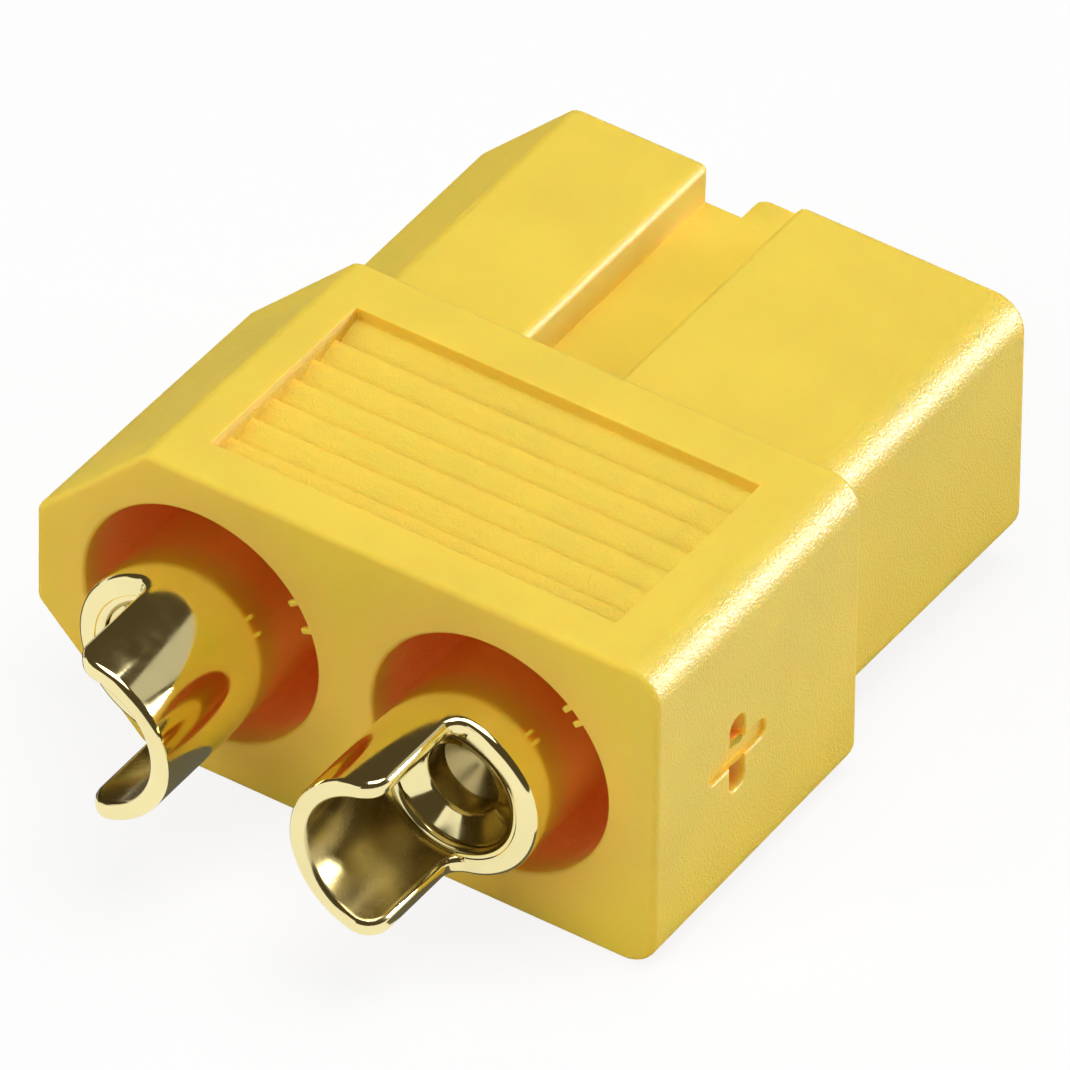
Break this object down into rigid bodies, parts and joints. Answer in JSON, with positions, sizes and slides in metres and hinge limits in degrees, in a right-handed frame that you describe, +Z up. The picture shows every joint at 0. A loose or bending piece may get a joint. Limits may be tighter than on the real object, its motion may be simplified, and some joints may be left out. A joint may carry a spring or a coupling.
{
  "type": "two-pole battery lead connector",
  "caption": "Yellow moulded battery lead connector half with plated pin sockets in its keyed nose and open solder cups in round pockets behind.",
  "frame": {"origin": "middle of the part's footprint, on the plane of the housing's lower face", "axes": "+X towards the square positive end, +Y the way the nose points, +Z up"},
  "size_m": [0.016, 0.0208, 0.0081],
  "materials": {
    "housing_nylon": "satin moulded nylon, slightly translucent, deep yellow",
    "gold_plate": "polished gold plating on turned brass"
  },
  "bodies": {
    "root": {"housing": "housing_nylon", "positive_contact": "gold_plate", "negative_contact": "gold_plate"}
  },
  "joints": []
}
